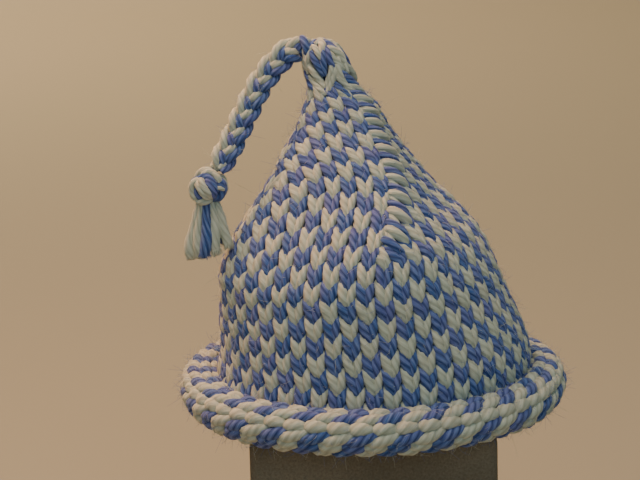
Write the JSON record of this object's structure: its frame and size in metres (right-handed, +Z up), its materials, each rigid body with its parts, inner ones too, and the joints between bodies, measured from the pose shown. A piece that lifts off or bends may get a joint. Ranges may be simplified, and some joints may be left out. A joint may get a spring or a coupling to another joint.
{
  "type": "nightcap on box stand",
  "caption": "Hand-knitted pointed nightcap with checked stitches, rolled brim and braided tasselled cord, resting on a plain square box stand.",
  "frame": {"origin": "middle of the stand's underside, below the middle of the brim", "axes": "+Z up through the cap, +Y away from the front, +X to the right seen from the front"},
  "size_m": [0.2064, 0.2064, 0.3324],
  "materials": {
    "crown_knit": "matte chunky wool, stranded cream and heathered blue",
    "brim_knit": "matte chunky wool, twisted cream and blue rows",
    "peak_knit": "matte chunky wool, cream over blue",
    "cord_wool": "matte braided wool, cream and blue strands",
    "tassel_wool": "matte loose wool ends",
    "stand_board": "flat taupe, faintly textured"
  },
  "bodies": {
    "root": {"crown": "crown_knit", "brim_roll": "brim_knit", "peak": "peak_knit", "braided_cord": "cord_wool", "cord_knot": "cord_wool", "tassel": "tassel_wool", "box_stand": "stand_board"}
  },
  "joints": []
}
